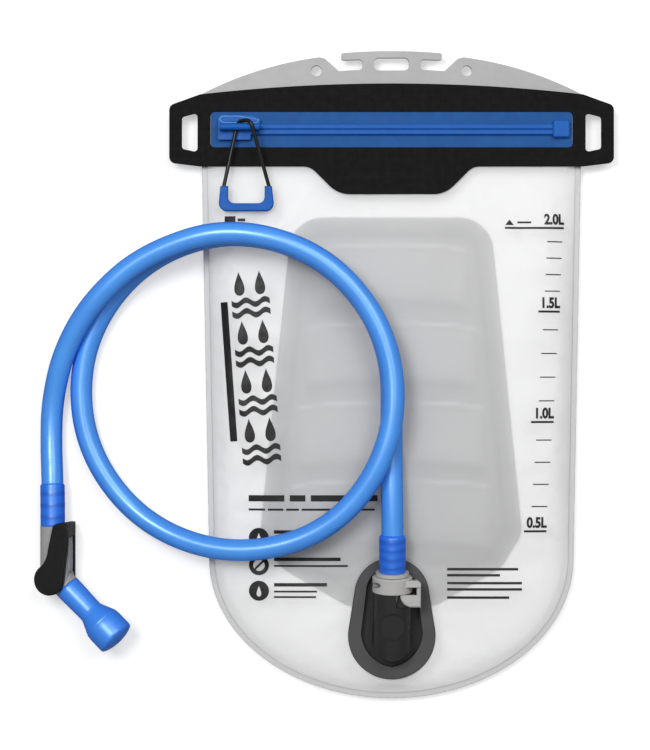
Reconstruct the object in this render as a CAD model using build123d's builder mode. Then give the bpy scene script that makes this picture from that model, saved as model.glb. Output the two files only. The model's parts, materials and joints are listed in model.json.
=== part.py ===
from build123d import *
from math import cos, pi, radians, sin, tan
import os

# A hydration bladder lying on its back panel: film reservoir with a top zipper, stiff hanger, outlet
# port with a push-in coupling, drinking hose, shut-off valve and bite valve. Millimetres, +Z up,
# +Y towards the hanger, origin on the floor under the middle of the reservoir's length and width.

os.makedirs("parts", exist_ok=True)

# ---------------------------------------------------------------- driving dimensions
half_length = 178.5  # hanger crest and bag bottom, each side of the origin
film = 0.6  # film thickness
clearance = 0.3  # gap between pieces that move past each other

# heights of the stacked layers
pad_height = 1.0  # back panel pads stand this far out of its field
panel_height = 3.0  # whole back panel
seam_height = 6.6  # plane where the two films are welded
hanger_base = seam_height + film
zip_plateau = 10.0  # film under the zipper
port_plateau = 14.0  # film under the outlet port
dome_height = 19.0  # fullest part of the bag

# bag outline
bag_corner = (105.5, 155.0)
bag_crown = 162.5
bag_foot = (100.7, -102.0)  # where the leaning sides meet the elliptical bottom
seam_width = 3.0
raised_top = 149.4  # the films part below this line; above it lies the hanger

# zipper band
band_thickness = 1.2
band_window = (199.6, 19.5)
zip_line = 135.1  # Y of the parting between the two tracks
tape_thickness = 0.8
track_left, track_right = -95.0, 88.5
track_top = 13.0

# slider and pull
slider_left, slider_right = -95.3, -72.4
slider_roof = 14.8
bar_y, bar_height, bar_radius = 135.7, 19.9, 1.8
wire_radius = 1.05
grip_height = 16.9  # middle of the pull grip
grip_thickness = 4.2

# hanger
strap_hole_spacing, strap_hole_radius, strap_hole_y = 82.8, 2.95, 167.6

# outlet port and coupling
port_top = port_plateau + 1.5
recess_floor = 10.4
drain_y = -143.0
coupling_tilt = 8.0  # degrees that the hose rises out of the port
coupling_start = (0.0, -120.4, 22.4)
socket_radius, socket_bore = 10.7, 6.3
spout_radius, spout_bore = 5.9, 2.4
ring_face = 13.4  # along the coupling axis, where the hose butts on the spout's ring
collar_start, collar_length, collar_radius = 2.9, 8.3, 10.9

# hose
hose_radius, hose_bore = 6.0, 3.75
barb_radius = 3.6

# shut-off valve, in its own plane: x across, y along the hose, z along the lever's pivot
valve_roll = 16.0  # degrees that the valve lies rolled about the hose
pivot = (-184.8, -111.8, 12.4)
barrel_offset, barrel_radius, barrel_end = -1.66, 6.8, 28.8
housing_radius, housing_half = 8.2, 7.1
core_radius, core_bore = 6.25, 6.3
lever_inner, lever_outer, disc_radius = 7.4, 10.3, 8.6
lever_sweep = 25.0  # the lever's crossbar stays outside this radius from the pivot
thumb_slant = 11.0  # degrees that the thumb side turns towards the lever's near arm
bend_height = 3.6  # the outlet leaves the barrel's axis this far above the pivot
outlet_angle = -43.3
neck_radius, neck_end = 7.2, 12.1

# The hose's route: points that its centre line turns at, from the port round to the valve.
hose_route = [
    (0.0, -107.13, 24.265),
    (0.0, -80.0, 28.08),
    (-0.6, -40.0, 25.9),
    (-0.3, 18.3, 25.9),
    (-33.0, 63.2, 25.4),
    (-85.8, 80.4, 24.0),
    (-138.6, 63.2, 12.0),
    (-171.3, 18.3, 6.4),
    (-171.3, -37.3, 6.4),
    (-138.6, -82.2, 9.5),
    (-85.8, -99.4, 24.0),
    (-31.4, -84.3, 33.0),
    (0.7, -37.6, 40.5),
    (-0.3, 18.3, 38.8),
    (-33.0, 63.2, 38.3),
    (-85.8, 80.4, 37.0),
    (-133.5, 66.5, 28.0),
    (-163.0, 41.5, 22.5),
    (-180.0, 14.0, 13.5),
    (-187.4, -14.0, 6.4),
    (-188.0, -38.0, 6.4),
    (-186.4, -61.0, 11.94),
    (-186.4, -83.0, 11.94),
]


def save(piece, name):
    piece.part.label = name
    export_step(piece.part, f"parts/{name}.step")


def mirrored(points):
    """The given right-hand points, then the same ones on the left in reverse."""
    return points + [(-x, y) for x, y in reversed(points)]


# ---------------------------------------------------------------- reservoir films
def draw_bag(inset, flat_top=None):
    """Bag outline drawn in by inset: bowed or flat top, leaning sides, elliptical bottom."""
    corner_y = bag_corner[1] - inset if flat_top is None else flat_top
    corner = (bag_corner[0] - inset, corner_y)
    foot_x, foot_y = bag_foot[0] - inset, bag_foot[1]
    with BuildLine() as outline:
        if flat_top is None:
            ThreePointArc((-corner[0], corner_y), (0, bag_crown - inset), corner)
        else:
            Line((-corner[0], corner_y), corner)
        Line(corner, (foot_x, foot_y))
        EllipticalCenterArc(
            (0, foot_y), foot_x, half_length + foot_y - inset, start_angle=180, arc_size=180
        )
        Line((-foot_x, foot_y), (-corner[0], corner_y))
    make_face(outline.edges())


def front_form(skin):
    """The raised front of the bag as a solid, skin under its outer surface."""
    levels = [
        (seam_height, seam_width),
        (port_plateau - skin, 8.5),
        (dome_height - skin, 32.0),
    ]
    side = [
        (-176.0, seam_height),
        (-168.0, port_plateau),
        (-98.0, port_plateau),
        (-50.0, dome_height),
        (20.0, dome_height),
        (60.0, 17.5),
        (112.0, zip_plateau),
        (raised_top, zip_plateau),
    ]
    with BuildPart() as form:
        for height, inset in levels:
            with BuildSketch(Plane.XY.offset(height)):
                draw_bag(inset + skin, flat_top=raised_top - skin - 0.4 * (inset - seam_width))
        loft(ruled=True)
        with BuildSketch(Plane.YZ):
            with BuildLine() as outline:
                Polyline(*[(y, z - skin) for y, z in side], (raised_top, 0), (-176.0, 0), close=True)
            make_face(outline.edges())
        extrude(amount=bag_corner[0], both=True, mode=Mode.INTERSECT)
    return form.part


def rear_form(skin):
    """The shallow tray of the rear film as a solid, skin above its outer surface."""
    with BuildPart() as form:
        for height, inset in ((panel_height + skin, 12.0), (seam_height + skin, seam_width)):
            with BuildSketch(Plane.XY.offset(height)):
                draw_bag(inset, flat_top=raised_top - 0.4 * (inset - seam_width))
        loft(ruled=True)
    return form.part


def draw_port_recess():
    """Recess of the port: arched top under the collar, flaring sides, drop-shaped bottom."""
    shoulder, flank, tip = (14.2, -119.0), (17.0, -141.6), (0, -160.2)
    with BuildLine() as outline:
        ThreePointArc((-shoulder[0], shoulder[1]), (0, -105.0), shoulder)
        Line(shoulder, flank)
        ThreePointArc(flank, (12.6, -153.0), tip)
        ThreePointArc(tip, (-12.6, -153.0), (-flank[0], flank[1]))
        Line((-flank[0], flank[1]), (-shoulder[0], shoulder[1]))
    make_face(outline.edges())


tub_wall = 1.5
front_outside, front_inside = front_form(0), front_form(film)
slit_half, slit_width = 88.0, 0.8

with BuildPart() as front_film:
    with BuildSketch(Plane.XY.offset(seam_height)):
        draw_bag(0)
    extrude(amount=film)
    add(front_outside)
    add(front_inside, mode=Mode.SUBTRACT)
    with BuildSketch(Plane.XY.offset(zip_plateau - 2)):
        with Locations((0, zip_line)):
            Rectangle(2 * slit_half, slit_width)
    extrude(amount=4, mode=Mode.SUBTRACT)
    with BuildSketch(Plane.XY.offset(port_plateau - 2)):
        draw_port_recess()
        offset(amount=tub_wall + 0.2)
    extrude(amount=4, mode=Mode.SUBTRACT)
save(front_film, "front_film")

rear_outside, rear_inside = rear_form(0), rear_form(film)

with BuildPart() as rear_film:
    with BuildSketch(Plane.XY.offset(seam_height - film)):
        draw_bag(0)
    extrude(amount=film)
    add(rear_outside)
    add(rear_inside, mode=Mode.SUBTRACT)
save(rear_film, "rear_film")

# ---------------------------------------------------------------- back panel
panel_corners = [(55.0, 87.3), (72.6, -88.0), (61.0, -107.0), (24.0, -128.3)]
panel_pads = [(54.8, 35.2, 43.1), (11.0, 36.0, 48.0), (-33.5, 37.0, 52.0), (-77.8, 38.4, 56.0)]
panel_rim = 6.5


def draw_panel():
    Polygon(*mirrored(panel_corners), align=None)
    by_height = vertices().group_by(Axis.Y)
    fillet(by_height[-1], 19)
    fillet(by_height[0] + by_height[1] + by_height[2], 14)


def draw_pad(middle_y, height, half_width, bow=3.0):
    """A pillow with bowed upper and lower edges."""
    low, high = middle_y - height / 2, middle_y + height / 2
    with BuildLine() as outline:
        ThreePointArc((-half_width, high - bow), (0, high), (half_width, high - bow))
        Line((half_width, high - bow), (half_width, low))
        ThreePointArc((half_width, low), (0, low + bow), (-half_width, low))
        Line((-half_width, low), (-half_width, high - bow))
    make_face(outline.edges())


with BuildPart() as back_panel:
    with BuildSketch(Plane.XY.offset(pad_height + 0.6)):
        draw_panel()
    extrude(amount=panel_height - pad_height - 0.6)
    with BuildSketch(Plane.XY.offset(pad_height)):
        draw_panel()
        offset(amount=-panel_rim)
    extrude(amount=panel_height - pad_height)
    for middle_y, height, half_width in panel_pads:
        with BuildSketch(Plane.XY):
            draw_pad(middle_y, height, half_width)
            fillet(vertices(), 5)
        extrude(amount=pad_height, taper=-20)
save(back_panel, "back_panel")

# ---------------------------------------------------------------- hanger
hook_half, hook_end_low, hook_end_high = 27.8, 173.5, 177.3
post_outer, post_inner = 16.1, 9.55
shoulder_foot, shoulder_crest, wing_tip = (29.2, 167.5), (39.6, 175.1), (105.0, 154.6)

with BuildPart() as hanger:
    with BuildSketch(Plane.XY.offset(hanger_base)):
        with BuildLine():
            ThreePointArc((-hook_half, hook_end_high), (0, half_length), (hook_half, hook_end_high))
            Polyline(
                (hook_half, hook_end_high),
                (hook_half, hook_end_low),
                (post_outer, hook_end_low + 0.4),
                (post_outer, 168.2),
                shoulder_foot,
                (36.6, 174.3),
                shoulder_crest,
            )
            ThreePointArc(shoulder_crest, (77.0, 166.5), wing_tip)
            Polyline(wing_tip, (102.0, 150.2), (-102.0, 150.2), (-wing_tip[0], wing_tip[1]))
            ThreePointArc(
                (-wing_tip[0], wing_tip[1]), (-77.0, 166.5), (-shoulder_crest[0], shoulder_crest[1])
            )
            Polyline(
                (-shoulder_crest[0], shoulder_crest[1]),
                (-36.6, 174.3),
                (-shoulder_foot[0], shoulder_foot[1]),
                (-post_outer, 168.2),
                (-post_outer, hook_end_low + 0.4),
                (-hook_half, hook_end_low),
                (-hook_half, hook_end_high),
            )
        make_face()
        with Locations((0, 171.3)):
            RectangleRounded(2 * post_inner, 7.0, 2.5, mode=Mode.SUBTRACT)
        with GridLocations(strap_hole_spacing, 0, 2, 1):
            with Locations((0, strap_hole_y)):
                Circle(strap_hole_radius, mode=Mode.SUBTRACT)
    extrude(amount=zip_plateau - hanger_base)
    notch_corners = [e for e in edges().filter_by(Axis.Z) if abs(abs(e.center().X) - post_outer) < 0.1]
    fillet(notch_corners, 1.9)
    hook_corners = [e for e in edges().filter_by(Axis.Z) if abs(abs(e.center().X) - hook_half) < 0.1]
    fillet(hook_corners, 1.2)
save(hanger, "hanger")

# ---------------------------------------------------------------- zipper band
loop_edge = 122.4
band_top, band_low = 154.5, 114.8  # Y of the band's long edges where they meet its side loops
tab_slope = (17.5 - zip_plateau) / 52.0  # rise of the film below the band
tab_low = 99.4
band_edge = [
    (bag_corner[0], band_top),
    (loop_edge, 148.4),
    (loop_edge, 116.9),
    (bag_corner[0], band_low),
    (44.8, band_low),
    (29.5, tab_low),
]
side_slot = [(106.8, 122.7), (115.4, 124.5), (115.4, 142.0), (106.8, 144.2)]

with BuildPart() as zip_surround:
    with BuildSketch():
        with BuildLine():
            ThreePointArc((-bag_corner[0], band_top), (0, 160.5), (bag_corner[0], band_top))
            Polyline(*mirrored(band_edge))
        make_face()
        fillet([v for v in vertices() if abs(v.X) > loop_edge - 1], 3.5)
        fillet([v for v in vertices() if v.Y < tab_low + 1], 16)
        fillet([v for v in vertices() if abs(abs(v.X) - 44.8) < 0.1], 9)
        with Locations((0, zip_line)):
            RectangleRounded(*band_window, 2.6, mode=Mode.SUBTRACT)
        for side in (-1, 1):
            Polygon(*[(side * x, y) for x, y in side_slot], align=None, mode=Mode.SUBTRACT)
    extrude(amount=zip_plateau * 2)
    with BuildSketch(Plane.YZ):
        with BuildLine():
            bend_rise = (112.0 - 96.0) * tab_slope
            lower_side = [(165, zip_plateau), (112, zip_plateau), (96, zip_plateau + bend_rise)]
            upper_side = [(y, z + band_thickness) for y, z in reversed(lower_side)]
            Polyline(*lower_side, *upper_side, close=True)
        make_face()
    extrude(amount=loop_edge + 5, both=True, mode=Mode.INTERSECT)
    slot_corners = [e for e in edges().filter_by(Axis.Z) if 106 < abs(e.center().X) < 116]
    fillet([e for e in slot_corners if 120 < e.center().Y < 146], 1.8)
save(zip_surround, "zip_surround")

# ---------------------------------------------------------------- zipper tapes, tracks and end stop
tape_half = 99.5
tape_depth, tape_gap = 9.65, 0.05


def zipper_tape(direction):
    """Half of the tape, above (+1) or below (-1) the zip line."""
    with BuildPart() as tape:
        with BuildSketch(Plane.XY.offset(zip_plateau)):
            with Locations((0, zip_line + direction * (tape_gap + tape_depth / 2))):
                Rectangle(2 * tape_half, tape_depth)
        extrude(amount=tape_thickness)
        fillet(edges().filter_by(Axis.Z).group_by(Axis.Y)[-1 if direction > 0 else 0], 2.2)
    return tape


zipper_tape_upper = zipper_tape(1)
save(zipper_tape_upper, "zipper_tape_upper")
zipper_tape_lower = zipper_tape(-1)
save(zipper_tape_lower, "zipper_tape_lower")

track_base = zip_plateau + tape_thickness
head_base = 12.2
neck_width, head_width, track_bevel = 2.0, 2.75, 0.4


def draw_track(direction):
    """Section of one track: a neck under a wider head, mirrored across the zip line."""
    inner = zip_line + direction * clearance / 2
    neck_edge, head_edge = inner + direction * neck_width, inner + direction * head_width
    with BuildLine() as outline:
        Polyline(
            (inner, track_base),
            (neck_edge, track_base),
            (neck_edge, head_base),
            (head_edge, head_base),
            (head_edge, track_top - track_bevel),
            (head_edge - direction * track_bevel, track_top),
            (inner + direction * track_bevel, track_top),
            (inner, track_top - track_bevel),
            close=True,
        )
    make_face(outline.edges())


track_length = track_right - track_left
with BuildPart() as zipper_track_upper:
    with BuildSketch(Plane.YZ.offset(track_left)):
        draw_track(1)
        with Locations((zip_line - 0.1, 11.6)):
            Rectangle(0.7, 0.6)
    extrude(amount=track_length)
save(zipper_track_upper, "zipper_track_upper")

with BuildPart() as zipper_track_lower:
    with BuildSketch(Plane.YZ.offset(track_left)):
        draw_track(-1)
        with Locations((zip_line - 0.45, 11.6)):
            Rectangle(0.7, 1.0, mode=Mode.SUBTRACT)
    extrude(amount=track_length)
save(zipper_track_lower, "zipper_track_lower")

with BuildPart() as zipper_end_stop:
    with BuildSketch(Plane.XY.offset(track_base)):
        with Locations((93.2, 135.4)):
            RectangleRounded(9.4, 9.7, 1.2)
    extrude(amount=3.4)
    chamfer(faces().sort_by(Axis.Z)[-1].edges(), 0.7)
save(zipper_end_stop, "zipper_end_stop")

# ---------------------------------------------------------------- slider
slider_body_right = -77.5
hook_low, hook_high = track_base + clearance, head_base - clearance
flank_low, flank_high = 129.2, 142.4
lower_inside = zip_line - clearance / 2 - head_width - clearance
upper_inside = zip_line + clearance / 2 + head_width + clearance

with BuildPart() as zipper_slider:
    with BuildSketch(Plane.XY.offset(hook_low)):
        with BuildLine():
            Polyline(
                (slider_left, flank_low),
                (slider_body_right, flank_low),
                (slider_body_right, 132.2),
                (slider_right, 133.0),
                (slider_right, 140.4),
                (-77.0, flank_high),
                (slider_left + 1.6, flank_high),
                (slider_left, 140.0),
                close=True,
            )
        make_face()
        fillet(vertices(), 0.7)
    extrude(amount=slider_roof - hook_low)
    # the channel for the closed tracks, with hooks left under their heads
    with BuildSketch(Plane.YZ.offset(slider_left - 1)):
        with Locations(((lower_inside + upper_inside) / 2, 0)):
            Rectangle(upper_inside - lower_inside, 2 * (track_top + clearance))
    extrude(amount=slider_right - slider_left + 2, mode=Mode.SUBTRACT)
    with BuildSketch(Plane.YZ.offset(slider_left + 0.8)):
        for direction, wall in ((-1, lower_inside), (1, upper_inside)):
            with Locations((wall - direction * 0.25, (hook_low + hook_high) / 2)):
                Rectangle(0.9, hook_high - hook_low)
    extrude(amount=slider_right - slider_left - 2.4)
    # raised ridge along the upper flank
    with BuildSketch(Plane.XY.offset(slider_roof)):
        with BuildLine():
            Polyline(
                (slider_left + 0.6, 140.0),
                (slider_left + 2.0, 141.9),
                (-84.0, 141.9),
                (slider_right - 0.5, 140.0),
                (-74.6, 139.0),
                (slider_left + 2.2, 139.0),
                close=True,
            )
        make_face()
    extrude(amount=0.4)
    # posts and bar that hold the pull
    with BuildSketch(Plane.XY.offset(slider_roof)):
        for left, right in ((-94.2, -90.8), (-73.9, slider_right)):
            with Locations(((left + right) / 2, bar_y)):
                Rectangle(right - left, 2 * bar_radius)
    extrude(amount=bar_height - slider_roof)
    with BuildSketch(Plane.YZ.offset(-94.2)):
        with Locations((bar_y, bar_height)):
            Circle(bar_radius)
    extrude(amount=slider_right + 94.2)
save(zipper_slider, "zipper_slider")

# ---------------------------------------------------------------- pull: coated wire and moulded grip
wire_loop = 3.3  # wire's centre line stands this far from the bar's axis
wire_bend = 3.8  # at each end of the loop behind the bar
wire_path_points = [
    (-92.1, 95.2, grip_height),
    (-91.9, 103.9, grip_height),
    (-84.4, bar_y + wire_loop, bar_height - 3.2),
    (-77.2, bar_y + wire_loop, bar_height + 3.9),
    (-67.4, 103.5, grip_height),
    (-67.1, 95.2, grip_height),
]

with BuildPart() as pull_wire:
    with BuildLine() as wire_line:
        FilletPolyline(*wire_path_points, radius=[3.0, wire_bend, wire_bend, 3.0])
    with BuildSketch(Plane(origin=wire_path_points[0], x_dir=(1, 0, 0), z_dir=wire_line.wires()[0] % 0)):
        Circle(wire_radius)
    sweep()
save(pull_wire, "pull_wire")

with BuildPart() as pull_grip:
    with BuildSketch(Plane.XY.offset(grip_height - grip_thickness / 2)):
        Polygon((-93.9, 103.4), (-95.2, 89.6), (-64.2, 89.6), (-65.7, 103.4), align=None)
        fillet(vertices().group_by(Axis.Y)[0], 4.5)
        with BuildLine():
            FilletPolyline((-89.7, 103.4), (-89.7, 94.0), (-69.7, 94.0), (-69.7, 103.4), radius=3.5)
            Line((-69.7, 103.4), (-89.7, 103.4))
        make_face(mode=Mode.SUBTRACT)
    extrude(amount=grip_thickness)
    fillet(faces().filter_by(Axis.Z).edges(), 0.9)
    add(pull_wire.part, mode=Mode.SUBTRACT)
save(pull_grip, "pull_grip")

# ---------------------------------------------------------------- outlet port
def draw_port_plate():
    with BuildLine() as circles:
        CenterArc((0, -120.8), 20.5, 0, 360)
        CenterArc((0, -143.0), 24.0, 0, 360)
    make_hull(circles.edges())


with BuildPart() as port_base:
    with BuildSketch(Plane.XY.offset(port_plateau)):
        draw_port_plate()
    extrude(amount=port_top - port_plateau)
    chamfer(faces().sort_by(Axis.Z)[-1].edges(), 0.6)
    with BuildSketch(Plane.XY.offset(recess_floor - tub_wall)):
        draw_port_recess()
        offset(amount=tub_wall)
    extrude(amount=port_plateau - recess_floor + tub_wall)
    with BuildSketch(Plane.XY.offset(recess_floor)):
        draw_port_recess()
    extrude(amount=port_top - recess_floor, mode=Mode.SUBTRACT)
    with BuildSketch(Plane.XY.offset(recess_floor - tub_wall)):
        with Locations((0, drain_y)):
            Circle(4.0)
    extrude(amount=tub_wall, mode=Mode.SUBTRACT)
save(port_base, "port_base")

with BuildPart() as port_backing_ring:
    with BuildSketch(Plane.XY.offset(port_plateau - film - 1.2)):
        draw_port_recess()
        offset(amount=tub_wall + 5)
    extrude(amount=1.2)
    with BuildSketch(Plane.XY.offset(port_plateau - film - 1.2)):
        draw_port_recess()
        offset(amount=tub_wall)
    extrude(amount=1.2, mode=Mode.SUBTRACT)
save(port_backing_ring, "port_backing_ring")

coupling = Plane(
    origin=coupling_start,
    x_dir=(1, 0, 0),
    z_dir=(0, cos(radians(coupling_tilt)), sin(radians(coupling_tilt))),
)
socket_reach = 36.0
coupling_up = (0, -sin(radians(coupling_tilt)), cos(radians(coupling_tilt)))
dish_plane = Plane(
    origin=coupling.from_local_coords((0, -8.9, -15.1)), x_dir=(1, 0, 0), z_dir=coupling_up
)

with BuildPart() as port_socket:
    # round above the coupling's axis, straight below it down to the recess floor
    with BuildSketch(coupling.offset(-socket_reach)):
        Circle(socket_radius)
        with Locations((0, 8.0)):
            Rectangle(2 * socket_radius, 16.0)
    extrude(amount=socket_reach + collar_start - clearance)
    with BuildSketch(Plane.XY.offset(recess_floor)):
        with BuildLine():
            Line((-9.7, -117.7), (9.7, -117.7))
            Line((9.7, -117.7), (socket_radius, -145.0))
            ThreePointArc((socket_radius, -145.0), (10.0, -149.0), (8.2, -151.2))
            ThreePointArc((8.2, -151.2), (0, -155.4), (-8.2, -151.2))
            ThreePointArc((-8.2, -151.2), (-10.0, -149.0), (-socket_radius, -145.0))
            Line((-socket_radius, -145.0), (-9.7, -117.7))
        make_face()
    extrude(amount=30, mode=Mode.INTERSECT)
    # coupling bore, poppet chamber and the drain that feeds them
    with BuildSketch(coupling.offset(collar_start)):
        Circle(socket_bore)
    extrude(amount=-22.2 - collar_start, mode=Mode.SUBTRACT)
    with BuildSketch(coupling.offset(-22)):
        Circle(5.2)
    extrude(amount=-10.5, mode=Mode.SUBTRACT)
    with BuildSketch(Plane.XY.offset(recess_floor)):
        with Locations((0, drain_y)):
            Circle(3.5)
    extrude(amount=9, mode=Mode.SUBTRACT)
    # oval thumb dish on top
    with BuildSketch(dish_plane):
        Ellipse(6.2, 7.7)
    extrude(amount=4, mode=Mode.SUBTRACT)
    # pocket for the release button and its travel
    with BuildSketch(Plane.XY.offset(28.0)):
        with Locations((7.5, -121.4)):
            Rectangle(11.4, 9.4)
    extrude(amount=6, mode=Mode.SUBTRACT)
save(port_socket, "port_socket")


def ring_on_coupling(start, length, outer, inner):
    """A plain ring centred on the coupling's axis."""
    with BuildPart() as ring:
        with BuildSketch(coupling.offset(start)):
            Circle(outer)
            Circle(inner, mode=Mode.SUBTRACT)
        extrude(amount=length)
    return ring


port_seat = ring_on_coupling(-21.9, 1.6, 6.2, 4.0)
save(port_seat, "port_seat")

with BuildPart() as port_poppet:
    with BuildSketch(coupling.offset(-25.5)):
        Circle(4.7)
    extrude(amount=2.5)
    with BuildSketch(coupling.offset(-23.2)):
        Circle(1.4)
    extrude(amount=3.0)
save(port_poppet, "port_poppet")

spring_turns, spring_pitch, spring_wire = 4, 1.5, 0.35
spring_plane = coupling.offset(-31.9)
with BuildPart() as poppet_spring:
    with BuildLine():
        coil = Helix(
            spring_pitch,
            spring_turns * spring_pitch,
            3.4,
            center=spring_plane.origin,
            direction=spring_plane.z_dir,
        )
    with BuildSketch(Plane(origin=coil @ 0, z_dir=coil % 0)):
        Circle(spring_wire)
    sweep()
save(poppet_spring, "poppet_spring")

# ---------------------------------------------------------------- coupling on the hose's end
arm_low, arm_high, arm_edge = 24.0, 31.8, 15.2
ring_radius, ring_width = 9.1, 1.9

with BuildPart() as coupling_collar:
    with BuildSketch(coupling.offset(collar_start)):
        Circle(collar_radius)
    extrude(amount=collar_length)
    chamfer(faces().sort_by(Axis.Y)[-1].edges(), 0.8)
    # arm that carries the release button
    with BuildSketch(Plane.XY.offset(arm_low)):
        with BuildLine():
            Polyline(
                (5.0, -111.3),
                (arm_edge - 1.6, -111.3),
                (arm_edge, -112.7),
                (arm_edge, -114.9),
                (5.0, -114.9),
                close=True,
            )
        make_face()
    extrude(amount=arm_high - arm_low)
    with BuildSketch(coupling):
        Circle(6.4)
    extrude(amount=collar_start + collar_length + 3, mode=Mode.SUBTRACT)
    # oval lock window
    with BuildSketch(Plane.XY.offset(20)):
        with Locations((-8.9, -114.0)):
            Ellipse(2.4, 1.5)
    extrude(amount=14, mode=Mode.SUBTRACT)
save(coupling_collar, "coupling_collar")


def draw_barb(face, reach, direction=1):
    """Half section of a barbed nipple about the y axis, its foot at y = face."""
    step = reach / 3
    points = [(spout_bore, face), (barb_radius, face)]
    for ridge in range(3):
        crest = face + direction * (ridge * step + 0.35 * step)
        points += [(barb_radius, crest), (barb_radius - 0.6, crest)]
        points += [(barb_radius - 0.6, crest + direction * 0.2), (barb_radius, crest + direction * 0.5)]
    points += [(barb_radius - 0.7, face + direction * reach), (spout_bore, face + direction * reach)]
    with BuildLine() as outline:
        Polyline(*points, close=True)
    make_face(outline.edges())


coupling_section = Plane(origin=coupling_start, x_dir=(1, 0, 0), z_dir=coupling_up)
o_ring_places = (-5.0, -12.0)
groove_radius, o_ring_wire = 5.1, 0.55

with BuildPart() as coupling_spout:
    with BuildSketch(coupling_section):
        with Locations(((spout_bore + spout_radius) / 2, -4.0)):
            Rectangle(spout_radius - spout_bore, 32.0)
        with Locations(((spout_bore + ring_radius) / 2, ring_face - ring_width / 2)):
            Rectangle(ring_radius - spout_bore, ring_width)
        for place in o_ring_places:
            with Locations(((groove_radius + 7) / 2, place)):
                Rectangle(7 - groove_radius, 1.6, mode=Mode.SUBTRACT)
        draw_barb(ring_face, 21.0)
    revolve(axis=Axis(coupling.origin, coupling.z_dir))
save(coupling_spout, "coupling_spout")

with BuildPart() as coupling_o_rings:
    with BuildSketch(coupling_section):
        with Locations(*[(groove_radius + o_ring_wire + 0.05, place) for place in o_ring_places]):
            Circle(o_ring_wire)
    revolve(axis=Axis(coupling.origin, coupling.z_dir))
save(coupling_o_rings, "coupling_o_rings")

spine_width = 2.2  # leaves the collar clear when the button is pressed in

with BuildPart() as release_button:
    with BuildSketch(Plane.XY.offset(28.4)):
        with BuildLine():
            Polyline((4.0, -119.1), (arm_edge, -119.1), (arm_edge, -125.7), (10.6, -125.7))
            ThreePointArc((10.6, -125.7), (5.8, -123.7), (4.0, -119.1))
        make_face()
        fillet(vertices().sort_by(Axis.X)[0:2], 0.8)
    extrude(amount=arm_high - 28.4)
    with BuildSketch(Plane.XY.offset(arm_low)):
        with Locations((arm_edge - spine_width / 2, -120.5)):
            Rectangle(spine_width, 10.4)
    extrude(amount=arm_high - arm_low)
    chamfer(faces().sort_by(Axis.Z)[-1].edges(), 0.6)
save(release_button, "release_button")

# ---------------------------------------------------------------- hose
def bend_radii(points):
    """The largest tangent arc that each corner of a route has room for."""
    radii = []
    for before, corner, after in zip(points, points[1:], points[2:]):
        run_in = Vector(*corner) - Vector(*before)
        run_out = Vector(*after) - Vector(*corner)
        half_turn = radians(run_in.get_angle(run_out)) / 2
        radii.append(0.45 * min(run_in.length, run_out.length) / tan(half_turn))
    return radii


hose_radii = bend_radii(hose_route)
with BuildPart() as hose:
    with BuildLine() as hose_line:
        FilletPolyline(*hose_route, radius=hose_radii)
    with BuildSketch(Plane(origin=hose_route[0], x_dir=(1, 0, 0), z_dir=coupling.z_dir)):
        Circle(hose_radius)
        Circle(hose_bore, mode=Mode.SUBTRACT)
    sweep()
save(hose, "hose")
hose_section = pi * (hose_radius**2 - hose_bore**2)
hose_length = hose_line.wires()[0].length
print("hose bend radii, mm:", [round(r) for r in hose_radii])
volume_ratio = hose.part.volume / (hose_section * hose_length)
print("hose length, mm:", round(hose_length, 1), "volume ratio:", volume_ratio)

# ---------------------------------------------------------------- shut-off valve
roll = radians(valve_roll)
valve = Plane(origin=pivot, x_dir=(cos(roll), 0, sin(roll)), z_dir=(-sin(roll), 0, cos(roll)))
out_x, out_y = cos(radians(outlet_angle)), sin(radians(outlet_angle))


def along_outlet(distance):
    """Point in the valve's plane, distance down the outlet's axis from the bend."""
    return (barrel_offset + out_x * distance, bend_height + out_y * distance)


def direction(x, y):
    """World direction of a direction drawn in the valve's plane."""
    return valve.from_local_coords((x, y, 0)) - valve.origin


def outlet_plane(distance):
    """Plane square to the outlet's axis."""
    x, y = along_outlet(distance)
    origin = valve.from_local_coords((x, y, 0))
    return Plane(origin=origin, x_dir=direction(out_y, -out_x), z_dir=direction(out_x, out_y))


def inlet_plane(height):
    """Plane square to the barrel's axis."""
    foot = valve.from_local_coords((barrel_offset, height, 0))
    return Plane(origin=foot, x_dir=valve.x_dir, z_dir=(0, 1, 0))


# half-section planes of the two nipples: x out from the axis, y along it
inlet_section = Plane(origin=inlet_plane(0).origin, x_dir=valve.x_dir, z_dir=valve.z_dir)
outlet_section = Plane(origin=outlet_plane(0).origin, x_dir=direction(out_y, -out_x), z_dir=valve.z_dir)
inlet_axis = Axis(inlet_section.origin, (0, 1, 0))
outlet_axis = Axis(outlet_section.origin, direction(out_x, out_y))
flank_face, flank_half, flank_top = 9.3, 6.9, 24.6
core_half, journal_half, journal_side = 7.0, 9.0, 5.0
core_groove, core_ring_wire, core_ring_place = 5.45, 0.38, 5.3

thumb_normal = direction(cos(radians(thumb_slant)), 0) - valve.z_dir * sin(radians(thumb_slant))
thumb_side = Plane(
    origin=valve.from_local_coords((8.6, 12.6, 0)), x_dir=(0, 1, 0), z_dir=thumb_normal
)

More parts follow.
